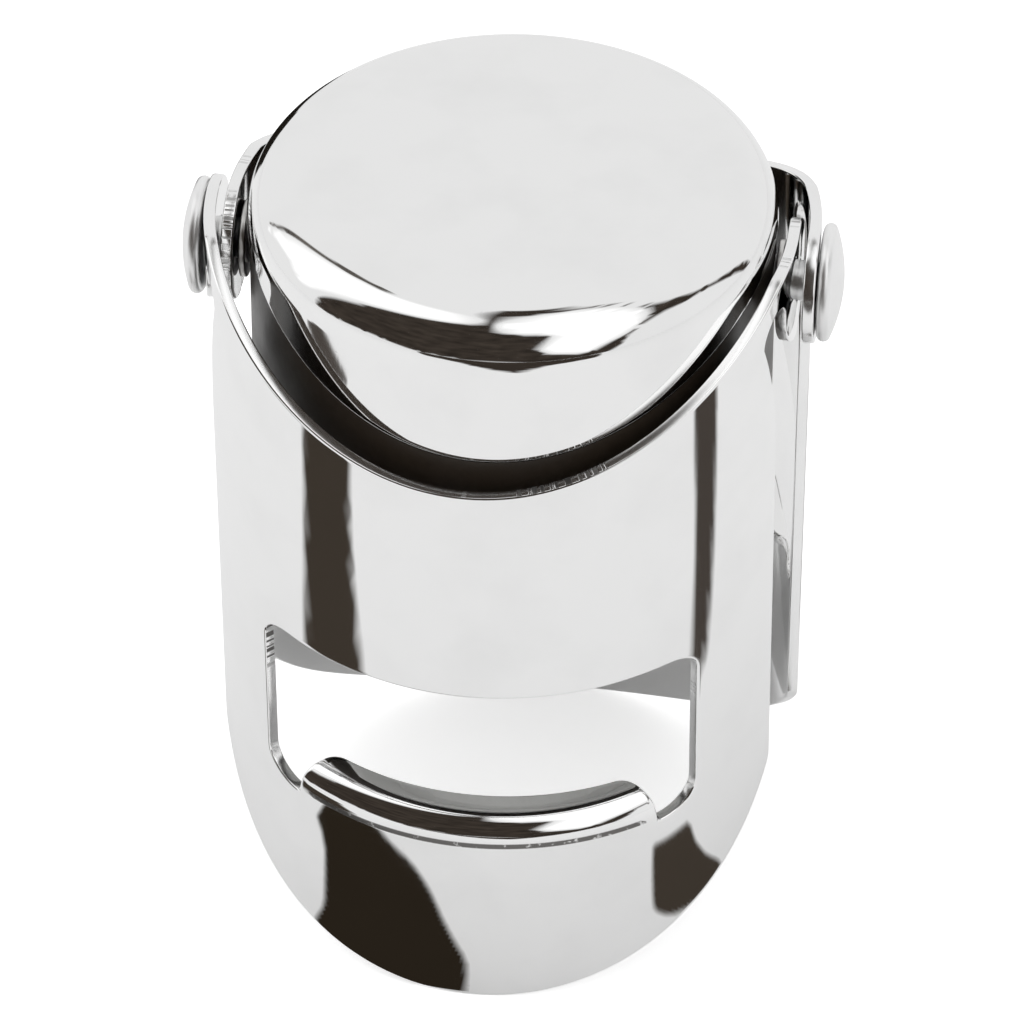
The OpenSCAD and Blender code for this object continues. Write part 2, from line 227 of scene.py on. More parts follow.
def wingOutline():
    w = wing
    spacing = w["grid"]
    crestEnd = math.sqrt(w["crestRadius"] ** 2
                         - (w["crestRadius"] - w["crestDrop"] - w["earRadius"]) ** 2)
    crest = []
    for x in np.sin(np.linspace(0, math.asin(crestEnd / w["radius"]), 60)) * w["radius"]:
        crest.append((alongFromX(x), w["crestRadius"] - w["crestDrop"]
                      - math.sqrt(w["crestRadius"] ** 2 - x * x)))
    top = [(crest[-1][0], w["earRadius"]), (w["quarter"], w["earRadius"])]
    notchZ = w["notchHeight"]
    notchLeft = (-w["setback"] - w["shoulderRadius"]
                 + math.sqrt(w["shoulderRadius"] ** 2 - (notchZ + w["shoulderDrop"]) ** 2))
    notchRight = -math.sqrt(w["earRadius"] ** 2 - notchZ ** 2)
    notchMiddle, notchRadius = (notchLeft + notchRight) / 2, (notchRight - notchLeft) / 2
    meets = math.degrees(math.asin(notchZ / w["earRadius"]))
    ear = arcPoints((0, 0), w["earRadius"], 90, -180 - meets, 66)
    notch = arcPoints((notchMiddle, notchZ), notchRadius, 0, 180, 22)
    shoulderCentre = (-w["setback"] - w["shoulderRadius"], -w["shoulderDrop"])
    high = math.degrees(math.asin((notchZ + w["shoulderDrop"]) / w["shoulderRadius"]))
    shoulder = arcPoints(shoulderCentre, w["shoulderRadius"], high, 0, 20)
    sideAlong = alongFromY(-w["setback"])
    corner = Vector((sideAlong, tongueLevel(sideAlong)))
    toward = (Vector((sideAlong - 2, tongueLevel(sideAlong - 2))) - corner).normalized()
    upward = Vector((0, 1))
    half = toward.angle(upward) / 2
    reach = w["footCornerRadius"] / math.tan(half)
    centre = corner + (toward + upward).normalized() * (w["footCornerRadius"] / math.sin(half))
    start, end = corner + upward * reach, corner + toward * reach
    a0, a1 = math.atan2(*(start - centre).yx), math.atan2(*(end - centre).yx)
    footCorner = arcPoints(centre, w["footCornerRadius"], math.degrees(a0), math.degrees(a1), 8)
    side = [(sideAlong, -w["shoulderDrop"]), tuple(start)]
    foot = [(a, tongueLevel(a)) for a in np.linspace(end.x, 0, 60)]
    byY = lambda line: [(alongFromY(y), z) for y, z in line]
    return mirrored(joined(
        evenly(crest, spacing), evenly(top, spacing), byY(ear), byY(notch), byY(shoulder),
        evenly(side, spacing), footCorner, evenly(foot, spacing)))


def hookLevel(depth):
    # distance up the blank at which the bent hook reaches this depth from the wing's outside
    w = wing
    if depth <= w["hookOutRadius"]:
        return w["bendLevel"] + w["hookOutRadius"] * math.acos(1 - depth / w["hookOutRadius"])
    return w["bendLevel"] + w["bendLength"] + depth - w["hookOutRadius"]


def hookOutline():
    # Seen from above: from the middle of the free edge, round the corner and back to the root
    w = wing
    ring = w["hookEdgeRadius"]
    middle = Vector((0, ring - (w["radius"] - w["hookReach"])))
    root = Vector((w["hookHalf"], -math.sqrt(w["radius"] ** 2 - w["hookHalf"] ** 2)))
    tip = middle + Vector((w["hookTipHalf"], -math.sqrt(ring ** 2 - w["hookTipHalf"] ** 2)))
    side = (tip - root).normalized()
    out = Vector((side.y, -side.x))
    near = root - out * w["hookCornerRadius"] - middle
    wide = ring + w["hookCornerRadius"]
    slope = near.dot(side)
    centre = near + side * (-slope - math.sqrt(slope ** 2 - near.dot(near) + wide ** 2)) + middle
    start = middle + (centre - middle) * (ring / wide)
    end = centre + out * w["hookCornerRadius"]
    a0, a1 = math.atan2(*(start - centre).yx), math.atan2(*(end - centre).yx)
    a1 = a0 + (a1 - a0 + math.pi) % (2 * math.pi) - math.pi
    turn = math.atan2(start.x, middle.y - start.y)
    plan = [(ring * math.sin(a), middle.y - ring * math.cos(a))
            for a in np.linspace(0, turn, 18)]
    plan += arcPoints(centre, w["hookCornerRadius"], math.degrees(a0), math.degrees(a1), 8)[1:]
    plan += [tuple(end + (root - end) * t) for t in np.linspace(0, 1, 14)[1:]]
    return [(w["radius"] * math.atan2(x, -y), hookLevel(max(0, w["radius"] - math.hypot(x, y))))
            for x, y in plan]


def windowOutline():
    w = wing
    spacing = w["grid"]
    topR, footR = w["windowTopRadius"], w["windowFootRadius"]
    footX, topX = w["windowHalf"] - footR, w["windowHalf"] - topR
    relief = [(w["hookHalf"], w["windowFoot"]), (footX, w["windowFoot"])]
    footArc = arcPoints((footX, w["windowFoot"] + footR), footR, -90, 0, 12)
    side = evenly([(w["windowHalf"], w["windowFoot"] + footR),
                   (w["windowHalf"], w["windowTop"] - topR)], spacing)
    topArc = arcPoints((topX, w["windowTop"] - topR), topR, 0, 90, 10)
    topEdge = evenly([(topX, w["windowTop"]), (0, w["windowTop"])], spacing)
    byX = lambda line: [(alongFromX(x), z) for x, z in line]
    return mirrored(joined(
        hookOutline(), byX(relief), byX(footArc), byX(side), byX(topArc), byX(topEdge)))


def boreOutline(side):
    ring = arcPoints((0, 0), wing["boreRadius"], 0, 360, 32)[:-1]
    return [(side * alongFromY(y), z) for y, z in ring]


def loopNormals(loop):
    # unit normals to the right of the direction of travel
    line = np.array(loop)
    ahead = np.roll(line, -1, 0) - line
    ahead /= np.linalg.norm(ahead, axis=1)[:, None]
    mean = ahead + np.roll(ahead, 1, 0)
    mean /= np.linalg.norm(mean, axis=1)[:, None]
    return np.stack([mean[:, 1], -mean[:, 0]], 1)


def signedArea(loop):
    line = np.array(loop)
    nextOne = np.roll(line, -1, 0)
    return 0.5 * float(np.sum(line[:, 0] * nextOne[:, 1] - nextOne[:, 0] * line[:, 1]))


def insidePolygon(points, loop):
    line = np.array(loop)
    x, y = points[:, 0], points[:, 1]
    inside = np.zeros(len(points), bool)
    for (x0, y0), (x1, y1) in zip(line, np.roll(line, -1, 0)):
        if y0 == y1:
            continue
        crosses = (y0 > y) != (y1 > y)
        inside ^= crosses & (x < (x1 - x0) * (y - y0) / (y1 - y0) + x0)
    return inside


def fillFace(outer, holes, spacing, rows):
    # Fills a flat face between its loops with an even grid of points
    loops = [outer] + holes
    edgePoints = np.array([p for loop in loops for p in loop])
    left, right = edgePoints[:, 0].min() / spacing, edgePoints[:, 0].max() / spacing
    columns = np.arange(math.floor(left), math.ceil(right) + 1)
    grid = np.array([(c * spacing, z) for z in rows for c in columns])
    keep = insidePolygon(grid, outer)
    for hole in holes:
        keep &= ~insidePolygon(grid, hole)
    grid = grid[keep]
    clear = np.ones(len(grid), bool)
    for start in range(0, len(grid), 2000):
        part = grid[start:start + 2000]
        near = np.min(np.hypot(part[:, None, 0] - edgePoints[None, :, 0],
                               part[:, None, 1] - edgePoints[None, :, 1]), axis=1)
        clear[start:start + 2000] = near > spacing * 0.45
    grid = grid[clear]
    points = np.concatenate([edgePoints, grid])
    edges, first = [], 0
    for loop in loops:
        edges += [(first + i, first + (i + 1) % len(loop)) for i in range(len(loop))]
        first += len(loop)
    result = delaunay_2d_cdt([Vector(p) for p in points], edges, [], 0, 1e-6)
    verts, faces, source = result[0], result[2], result[3]
    if len(verts) != len(points):
        print("fill changed the points:", len(points), len(verts))
    middle = np.array([[sum(verts[i][k] for i in f) / len(f) for k in (0, 1)] for f in faces])
    inside = insidePolygon(middle, outer)
    for hole in holes:
        inside &= ~insidePolygon(middle, hole)
    order = [s[0] for s in source]
    kept = [tuple(order[i] for i in f) for f, ok in zip(faces, inside) if ok]
    return points, kept


def wingBlank():
    # (along, level, depth): the sheet before bending, with soft edges all round
    w = wing
    sheet, soft = w["sheet"], w["edgeSoftness"]
    outer, window = wingOutline(), windowOutline()
    loops = [outer, window, boreOutline(1), boreOutline(-1)]
    normals = []
    for i, loop in enumerate(loops):
        n = loopNormals(loop)
        # point into the sheet
        if (signedArea(loop) > 0) == (i == 0):
            n = -n
        normals.append(n)

    stations = [(soft + w["edgeSupport"], 0.0), (soft, 0.0)]
    stations += [(soft * (1 - math.sin(a)), soft * (1 - math.cos(a)))
                 for a in np.radians([22.5, 45, 67.5, 90])]
    stations += [(inset, sheet - depth) for inset, depth in reversed(stations)]
    points, faces, rings, runs = [], [], [], []
    for loop, normal in zip(loops, normals):
        ringSet = []
        steps = np.linalg.norm(np.diff(np.array(loop), axis=0), axis=1)
        run = np.concatenate([[0], np.cumsum(steps)])
        for inset, depth in stations:
            along = np.array(loop)[:, 0] + normal[:, 0] * inset
            level = np.array(loop)[:, 1] + normal[:, 1] * inset
            ringSet.append(list(range(len(points), len(points) + len(loop))))
            points += [(a, z, depth) for a, z in zip(along, level)]
            runs += run.tolist()
        for low, high in zip(ringSet, ringSet[1:]):
            for k in range(len(loop)):
                n = (k + 1) % len(loop)
                faces.append((low[k], low[n], high[n], high[k]))
        rings.append(ringSet)
    levels = np.arange(-w["reach"] - 1, w["earRadius"] + 1, w["grid"] * 1.25)
    bendEnd = w["bendLevel"] + w["bendLength"]
    bendRows = np.arange(w["bendLevel"], bendEnd + 0.01, w["bendLength"] / 9)
    # a row of points at the lower edge of the painted crease shade
    creaseShadeRow = w["bendLevel"] - w["bendCreaseShade"]
    kept = [z for z in levels
            if abs(z - bendRows.mean()) > w["bendLength"] * 0.62 and abs(z - creaseShadeRow) > 0.3]
    rows = np.array(sorted(kept + list(bendRows) + [creaseShadeRow]))
    for station, depth in ((0, 0.0), (-1, sheet)):
        flat = [[points[i][:2] for i in ringSet[station]] for ringSet in rings]
        ids = [i for ringSet in rings for i in ringSet[station]]
        filled, triangles = fillFace(flat[0], flat[1:], w["grid"], rows)
        first = len(points)
        points += [(p[0], p[1], depth) for p in filled[len(ids):]]
        index = ids + list(range(first, first + len(filled) - len(ids)))
        faces += [tuple(index[i] for i in t) for t in triangles]
    return points, faces, runs + [0.0] * (len(points) - len(runs))


def markPoints(mesh, name, values):
    attribute = mesh.attributes.new(name, "FLOAT", "POINT")
    attribute.data.foreach_set("value", np.array(values, np.float32))


def tidyBlank(points, faces, runs):
    # standing up: X along the sheet, Y into its thickness, Z up; square cells become quads
    blank = toMesh("blank", [(a, d, z) for a, z, d in points], faces)
    solid = bmesh.new()
    solid.from_mesh(blank)
    flat = [f for f in solid.faces if len(f.verts) == 3 and abs(f.normal.y) > 0.999]
    bmesh.ops.join_triangles(
        solid, faces=flat, angle_face_threshold=0.02, angle_shape_threshold=0.05)
    solid.to_mesh(blank)
    solid.free()
    soft, sheet = wing["edgeSoftness"] * mm, wing["sheet"] * mm
    places = np.array([v.co for v in blank.vertices])
    heights = places[:, 1]
    isCut = (heights > soft * 0.8) & (heights < sheet - soft * 0.8)
    # painted shade: a mask for the dark line painted where the hook's bend begins, standing in for
    # shade in the crease
    near = 1 - np.abs(places[:, 2] / mm - wing["bendLevel"]) / wing["bendCreaseShade"]
    near *= (np.abs(places[:, 0]) < wing["hookHalf"] * mm) & (heights < soft)
    markPoints(blank, "cutEdge", isCut)
    markPoints(blank, "edgeRun", runs)
    markPoints(blank, "bendCreaseShade", np.clip(near, 0, 1))
    return blank


def addNode(tree, kind, **settings):
    node = tree.nodes.new(kind)
    for name, value in settings.items():
        setattr(node, name, value)
    return node


def feed(tree, socket, value):
    if isinstance(value, bpy.types.NodeSocket):
        tree.links.new(value, socket)
    elif value is not None:
        socket.default_value = value


def maths(tree, operation, *values):
    node = addNode(tree, "ShaderNodeMath", operation=operation)
    for socket, value in zip(node.inputs, values):
        feed(tree, socket, value)
    return node.outputs[0]


def newTree(name, kind, inputs, outputs):
    tree = bpy.data.node_groups.new(name, kind)
    for socketName, socketKind, default in inputs:
        socket = tree.interface.new_socket(
            name=socketName, in_out="INPUT", socket_type=socketKind)
        if default is not None:
            socket.default_value = default
    for socketName, socketKind in outputs:
        tree.interface.new_socket(name=socketName, in_out="OUTPUT", socket_type=socketKind)
    return tree, tree.nodes.new("NodeGroupInput"), tree.nodes.new("NodeGroupOutput")


def runTree(piece, tree, values):
    # Puts the tree on the piece, sets its inputs and returns the finished plain mesh
    modifier = piece.modifiers.new(tree.name, "NODES")
    modifier.node_group = tree
    for item in tree.interface.items_tree:
        if item.item_type == "SOCKET" and item.in_out == "INPUT" and item.name in values:
            modifier[item.identifier] = values[item.name]
    bpy.context.view_layer.update()
    evaluated = piece.evaluated_get(bpy.context.evaluated_depsgraph_get())
    mesh = bpy.data.meshes.new_from_object(evaluated)
    piece.modifiers.remove(modifier)
    return mesh


def makePressBrake():
    # Bends the flat blank: first the hook's lip, then the U, then the lean about the pivot
    tree, given, out = newTree("pressBrake", "GeometryNodeTree", [
        ("Geometry", "NodeSocketGeometry", None), ("Bend radius", "NodeSocketFloat", 0.022),
        ("Hook radius", "NodeSocketFloat", 0.0017), ("Hook level", "NodeSocketFloat", -0.0397),
        ("Hook half width", "NodeSocketFloat", 0.016), ("Window top", "NodeSocketFloat", -0.0242),
        ("Lean", "NodeSocketFloat", 0.055), ("Side offset", "NodeSocketFloat", 0.0007),
        ("Pivot height", "NodeSocketFloat", 0.024), ("Turn", "NodeSocketFloat", 0.0),
        ("Steel", "NodeSocketMaterial", None),
    ], [("Geometry", "NodeSocketGeometry")])
    get = given.outputs
    m = lambda operation, *values: maths(tree, operation, *values)
    place = addNode(tree, "ShaderNodeSeparateXYZ")
    tree.links.new(addNode(tree, "GeometryNodeInputPosition").outputs[0], place.inputs[0])
    along, depth, level = place.outputs

    bent = m("MULTIPLY", get["Hook radius"], math.pi / 2)
    above = m("SUBTRACT", level, get["Hook level"])
    inBend = m("MINIMUM", m("MAXIMUM", above, 0.0), bent)
    angle = m("DIVIDE", inBend, get["Hook radius"])
    arm = m("SUBTRACT", get["Hook radius"], depth)
    hookUp = m("ADD", get["Hook level"], m("MULTIPLY", arm, m("SINE", angle)))
    past = m("MAXIMUM", m("SUBTRACT", above, bent), 0.0)
    inward = m("SUBTRACT", get["Hook radius"], m("MULTIPLY", arm, m("COSINE", angle)))
    hookIn = m("ADD", inward, past)
    isHook = m("MULTIPLY", m("GREATER_THAN", above, 0.0),
               m("LESS_THAN", m("ABSOLUTE", along), get["Hook half width"]))
    isHook = m("MULTIPLY", isHook, m("LESS_THAN", level, get["Window top"]))
    bentOr = lambda flat, hook: m("ADD", flat, m("MULTIPLY", isHook, m("SUBTRACT", hook, flat)))
    level, depth = bentOr(level, hookUp), bentOr(depth, hookIn)

    quarter = m("MULTIPLY", get["Bend radius"], math.pi / 2)
    onArc = m("MINIMUM", m("MAXIMUM", along, m("MULTIPLY", quarter, -1.0)), quarter)
    around = m("DIVIDE", onArc, get["Bend radius"])
    arm = m("SUBTRACT", get["Bend radius"], depth)
    side = m("MULTIPLY", arm, m("SINE", around))
    back = m("SUBTRACT", m("ABSOLUTE", m("SUBTRACT", along, onArc)),
             m("MULTIPLY", arm, m("COSINE", around)))

    cosLean, sinLean = m("COSINE", get["Lean"]), m("SINE", get["Lean"])
    leanY = m("SUBTRACT", m("MULTIPLY", back, cosLean), m("MULTIPLY", level, sinLean))
    leanZ = m("ADD", m("MULTIPLY", back, sinLean), m("MULTIPLY", level, cosLean))
    side = m("SUBTRACT", side, get["Side offset"])
    cosTurn, sinTurn = m("COSINE", get["Turn"]), m("SINE", get["Turn"])
    join = addNode(tree, "ShaderNodeCombineXYZ")
    turnedX = m("SUBTRACT", m("MULTIPLY", side, cosTurn), m("MULTIPLY", leanY, sinTurn))
    turnedY = m("ADD", m("MULTIPLY", side, sinTurn), m("MULTIPLY", leanY, cosTurn))
    feed(tree, join.inputs[0], turnedX)
    feed(tree, join.inputs[1], turnedY)
    feed(tree, join.inputs[2], m("ADD", leanZ, get["Pivot height"]))
    move = addNode(tree, "GeometryNodeSetPosition")
    feed(tree, move.inputs["Geometry"], get["Geometry"])
    feed(tree, move.inputs["Position"], join.outputs[0])
    finishTree(tree, move.outputs[0], get["Steel"], out)
    return tree


def finishTree(tree, geometry, material, out):
    realize = addNode(tree, "GeometryNodeRealizeInstances")
    setMaterial = addNode(tree, "GeometryNodeSetMaterial")
    feed(tree, realize.inputs[0], geometry)
    feed(tree, setMaterial.inputs["Geometry"], realize.outputs[0])
    feed(tree, setMaterial.inputs["Material"], material)
    feed(tree, out.inputs[0], setMaterial.outputs[0])


def noiseOf(tree, place, scale, detail, dimensions="3D"):
    noise = addNode(tree, "ShaderNodeTexNoise", noise_dimensions=dimensions)
    feed(tree, noise.inputs["W" if dimensions == "1D" else "Vector"], place)
    feed(tree, noise.inputs["Scale"], scale)
    noise.inputs["Detail"].default_value = detail
    return noise.outputs[0]


def noiseBand(tree, place, scale, band, detail=2.0, dimensions="3D"):
    # noise that is 0 at the band's low end and 1 at its high end
    spread = addNode(tree, "ShaderNodeMapRange")
    feed(tree, spread.inputs["Value"], noiseOf(tree, place, scale, detail, dimensions))
    for name, level in zip(("From Min", "From Max"), band):
        spread.inputs[name].default_value = level
    return spread.outputs[0]


wearMarks = {
    "smudgeBand": (0.45, 0.75), "scratchBand": (0.68, 0.76), "waveScale": 70.0,
    "scratchLays": (((0.3, 0.2, 0.9), (2600, 45, 2600)), ((1.1, 0.5, -0.4), (2200, 2200, 38))),
    "scratchRoughness": 0.15, "scratchDepth": 0.02, "bumpDistance": 0.0002,
}


def makeSurfaceWear():
    # Handling marks: soft smudges, fine straight scratches and a faint waviness
    tree, given, out = newTree("surfaceWear", "ShaderNodeTree", [
        ("Coordinates", "NodeSocketVector", None), ("Smudge scale", "NodeSocketFloat", 180.0),
        ("Smudge", "NodeSocketFloat", 0.3), ("Scratch", "NodeSocketFloat", 0.3),
        ("Wave", "NodeSocketFloat", 0.2), ("Roughness", "NodeSocketFloat", 0.05),
    ], [(name, "NodeSocketFloat") for name in ("Roughness", "Height", "Mask")])
    get = given.outputs
    m = lambda operation, *values: maths(tree, operation, *values)
    cloud = noiseBand(tree, get["Coordinates"], get["Smudge scale"], wearMarks["smudgeBand"], 4.0)
    scratches = None
    for turn, stretch in wearMarks["scratchLays"]:
        lay = addNode(tree, "ShaderNodeMapping")
        feed(tree, lay.inputs["Vector"], get["Coordinates"])
        lay.inputs["Rotation"].default_value, lay.inputs["Scale"].default_value = turn, stretch
        line = noiseBand(tree, lay.outputs[0], 1.0, wearMarks["scratchBand"], 1.0)
        scratches = line if scratches is None else m("MAXIMUM", scratches, line)
    wave = noiseOf(tree, get["Coordinates"], wearMarks["waveScale"], 1.0)
    scored = m("MULTIPLY", scratches, get["Scratch"])
    rough = m("MULTIPLY", get["Roughness"], m("ADD", 1.0, m("MULTIPLY", cloud, get["Smudge"])))
    rough = m("ADD", rough, m("MULTIPLY", scored, wearMarks["scratchRoughness"]))
    cuts = m("MULTIPLY", scored, wearMarks["scratchDepth"])
    height = m("SUBTRACT", m("MULTIPLY", wave, get["Wave"]), cuts)
    feed(tree, out.inputs["Roughness"], rough)
    feed(tree, out.inputs["Height"], height)
    feed(tree, out.inputs["Mask"], cloud)
    return tree


surfaceWear = makeSurfaceWear()


def newMaterial(name):
    material = bpy.data.materials.new(name)
    material.use_nodes = True
    tree = material.node_tree
    return material, tree, tree.nodes["Principled BSDF"]


def wornSurface(tree, shader, settings):
    coordinates = addNode(tree, "ShaderNodeTexCoord")
    wear = addNode(tree, "ShaderNodeGroup", node_tree=surfaceWear)
    feed(tree, wear.inputs["Coordinates"], coordinates.outputs["Object"])
    for name in ("Smudge scale", "Smudge", "Scratch", "Wave", "Roughness"):
        key = "smudgeScale" if name == "Smudge scale" else name.lower()
        wear.inputs[name].default_value = settings[key]
    bump = addNode(tree, "ShaderNodeBump")
    bump.inputs["Strength"].default_value = settings["bump"]
    bump.inputs["Distance"].default_value = wearMarks["bumpDistance"]
    feed(tree, bump.inputs["Height"], wear.outputs["Height"])
    feed(tree, shader.inputs["Roughness"], wear.outputs["Roughness"])
    feed(tree, shader.inputs["Normal"], bump.outputs[0])
    return coordinates, wear, bump


def mixed(tree, kind, share, first, second):
    mix = addNode(tree, "ShaderNodeMix", data_type=kind)
    for name, value in (("Factor", share), ("A", first), ("B", second)):
        feed(tree, mix.inputs[name], (*value, 1) if isinstance(value, tuple) else value)
    return mix.outputs["Result"]


def steelMaterial(name, settings):
    material, tree, shader = newMaterial(name)
    coordinates, wear, bump = wornSurface(tree, shader, settings)
    shader.inputs["Metallic"].default_value = 1.0
    smudged = maths(tree, "MULTIPLY", wear.outputs["Mask"], settings["toneChange"])
    dulled = tuple(c * 0.9 for c in settings["colour"])
    tone = mixed(tree, "RGBA", smudged, settings["colour"], dulled)
    feed(tree, shader.inputs["Base Color"], tone)
    if "cutRoughness" in settings:
        # sheared edges are rougher, with fine marks across the sheet in places
        cut = addNode(tree, "ShaderNodeAttribute", attribute_name="cutEdge").outputs["Fac"]
        run = addNode(tree, "ShaderNodeAttribute", attribute_name="edgeRun").outputs["Fac"]
        run = maths(tree, "ADD", run, settings["edgeShift"])
        creaseShadeMask = addNode(tree, "ShaderNodeAttribute", attribute_name="bendCreaseShade").outputs["Fac"]
        rough = mixed(tree, "FLOAT", cut, wear.outputs["Roughness"], settings["cutRoughness"])
        ticks = noiseBand(tree, run, *settings["ticks"], dimensions="1D")
        patches = noiseBand(tree, run, *settings["patches"], dimensions="1D")
        breaks = noiseBand(tree, coordinates.outputs["Object"], *settings["breaks"])
        firstHalf = maths(tree, "LESS_THAN", run, settings["tickEnd"])
        shear = maths(tree, "MULTIPLY", maths(tree, "MULTIPLY", cut, firstHalf),
                      maths(tree, "MULTIPLY", ticks, patches))
        # painted shade: a broken dark line in the crease where the hook's bend begins, joined to
        # the real shear marks
        middle = maths(tree, "MAXIMUM", 0.0, maths(tree, "SUBTRACT", creaseShadeMask, settings["creaseShadeLip"]))
        line = maths(tree, "MINIMUM", 1.0, maths(tree, "MULTIPLY", middle, settings["creaseShadeDepth"]))
        marks = maths(tree, "MAXIMUM", shear, maths(tree, "MULTIPLY", line, breaks))
        dull = maths(tree, "MULTIPLY", marks, settings["markRoughness"])
        feed(tree, shader.inputs["Roughness"], maths(tree, "ADD", rough, dull))
        notches = maths(tree, "MULTIPLY", shear, settings["tickDepth"])
        feed(tree, bump.inputs["Height"], maths(tree, "SUBTRACT", wear.outputs["Height"], notches))
        # the dark colour is the shear marks' own colour on cut edges, and painted crease shade at
        # the hook's bend
        dark = maths(tree, "MULTIPLY", marks, settings["shearAndCreaseShadeDepth"])
        marked = mixed(tree, "RGBA", dark, tone, settings["shearAndCreaseShadeColour"])
        feed(tree, shader.inputs["Base Color"], marked)
    return material


def plasticMaterial(name, settings):
    material, tree, shader = newMaterial(name)
    coordinates, wear, bump = wornSurface(tree, shader, settings)
    grain = noiseOf(tree, coordinates.outputs["Object"], settings["grainScale"], 3.0)
    tone = mixed(tree, "RGBA", grain, settings["colour"], settings["colourWorn"])
    feed(tree, shader.inputs["Base Color"], tone)
    grained = maths(tree, "MULTIPLY", grain, settings["grain"])
    height = maths(tree, "ADD", wear.outputs["Height"], grained)
    feed(tree, bump.inputs["Height"], height)
    shader.inputs["IOR"].default_value = settings["ior"]
    return material


polished = {"colour": (0.93, 0.93, 0.928), "roughness": 0.04, "smudgeScale": 160.0, "smudge": 0.35,
            "scratch": 0.12, "wave": 0.08, "bump": 0.25, "toneChange": 0.4}
# ticks, patches and breaks: the noise's scale and the band that it is cut to
polishedSheet = dict(
    polished, cutRoughness=0.2, edgeShift=10.5, tickDepth=1.6, tickEnd=140.0,
    ticks=(1.9, (0.50, 0.56)), patches=(0.09, (0.54, 0.62)), breaks=(1500.0, (0.28, 0.40)),
    # the lip, depth and dark colour below also paint shade in the crease at the hook's bend; the
    # same dark colour darkens the real shear marks on cut edges
    creaseShadeLip=0.2, creaseShadeDepth=4.0, markRoughness=0.3, shearAndCreaseShadeDepth=0.86,
    shearAndCreaseShadeColour=(0.055, 0.048, 0.042))
turned = dict(polished, roughness=0.38)
plain = {"colour": (0.66, 0.65, 0.635), "roughness": 0.28, "smudgeScale": 400.0, "smudge": 0.5,
         "scratch": 0.5, "wave": 0.1, "bump": 0.4, "toneChange": 0.8}
moulded = {"colour": (0.020, 0.014, 0.009), "colourWorn": (0.032, 0.023, 0.016), "roughness": 0.36,
           "smudgeScale": 220.0, "smudge": 0.3, "scratch": 0.2, "wave": 0.1, "bump": 0.4,
           "grainScale": 1800.0, "grain": 0.12, "ior": 1.5}
ivory = {"colour": (0.70, 0.68, 0.60), "colourWorn": (0.62, 0.60, 0.52), "roughness": 0.38,
         "smudgeScale": 220.0, "smudge": 0.3, "scratch": 0.2, "wave": 0.1, "bump": 0.3,
         "grainScale": 1500.0, "grain": 0.1, "ior": 1.5}
rubber = {"colour": (0.60, 0.60, 0.585), "colourWorn": (0.54, 0.54, 0.525), "roughness": 0.55,
          "smudgeScale": 260.0, "smudge": 0.25, "scratch": 0.1, "wave": 0.15, "bump": 0.6,
          "grainScale": 2600.0, "grain": 0.35, "ior": 1.52}
capSteel = steelMaterial("capSteel", polished)
rivetSteel = steelMaterial("rivetSteel", turned)
sheetSteel = steelMaterial("sheetSteel", polishedSheet)
plainSteel = steelMaterial("plainSteel", plain)
blackPlastic = plasticMaterial("blackPlastic", moulded)
ivoryPlastic = plasticMaterial("ivoryPlastic", ivory)
greyRubber = plasticMaterial("greyRubber", rubber)
print("materials made")


def makeWings():
    blank = tidyBlank(*wingBlank())
    stock = newObject("wingBlank", blank)
    tree = makePressBrake()
    for name, body, turn in (("frontWing", "front_wing", 0.0), ("rearWing", "rear_wing", math.pi)):
        mesh = runTree(stock, tree, {
            "Bend radius": wing["radius"] * mm, "Hook radius": wing["hookOutRadius"] * mm,
            "Hook level": wing["bendLevel"] * mm, "Hook half width": wing["lipHalf"] * mm,
            "Window top": (wing["windowTop"] - wing["lipClear"]) * mm,
            "Lean": math.radians(wing["lean"]),
            "Side offset": wing["sideOffset"] * mm, "Pivot height": pivotHeight * mm,
            "Turn": turn, "Steel": sheetSteel})
        mesh.name = name
        mesh.shade_smooth()
        addPiece(name, mesh, body, sheetSteel, [body])
        print(name, "bent:", len(mesh.vertices), "points", len(mesh.polygons), "faces")
    bpy.data.objects.remove(stock)


makeWings()


# A pressed cup whose rim is cut to an arch at each side
cap = {
    "radius": 19.6, "rise": 8.4, "drop": 3.7, "wall": 0.8, "edgeRadius": 3.6, "crown": 0.35,
    "archRadius": 28.0, "rimSoftness": 0.18, "around": 256, "across": 24, "down": 44,
}


def capSection(inset):
    # half section from the axis down the outside of the wall, at a depth inside it
    c = cap
    radius, edge = c["radius"] - inset, c["edgeRadius"] - inset
    flat = radius - edge
    crownRadius = (flat ** 2 + c["crown"] ** 2) / (2 * c["crown"])
    top = c["rise"] - inset
    section = [(r, top - crownRadius + math.sqrt(crownRadius ** 2 - r * r))
               for r in np.linspace(0, flat, c["across"] + 1)]
    join = math.degrees(math.acos(flat / crownRadius))
    section += arcPoints((flat, top - c["crown"] - edge), edge, 90, 0, 40)[1:]
    section += [(radius, z) for z in np.linspace(top - c["crown"] - edge, -c["drop"] - 1, 40)[1:]]
    return np.array(section)


def capWall(section, share, angle, trim):
    # points of the section below the crown, evenly down to the arched rim
    c = cap
    wall = section[c["across"]:]
    arch = np.sqrt(c["archRadius"] ** 2 - (wall[:, 0] * math.cos(angle)) ** 2)
    rim = -c["drop"] + c["archRadius"] - arch
    over = wall[:, 1] - rim
    last = int(np.argmax(over < 0))
    t = over[last - 1] / (over[last - 1] - over[last])
    length = np.concatenate([[0], np.cumsum(np.hypot(*np.diff(wall, axis=0).T))])
    end = length[last - 1] + t * (length[last] - length[last - 1]) - trim
    at = share * end
    return np.stack([np.interp(at, length, wall[:, 0]), np.interp(at, length, wall[:, 1])], 1)


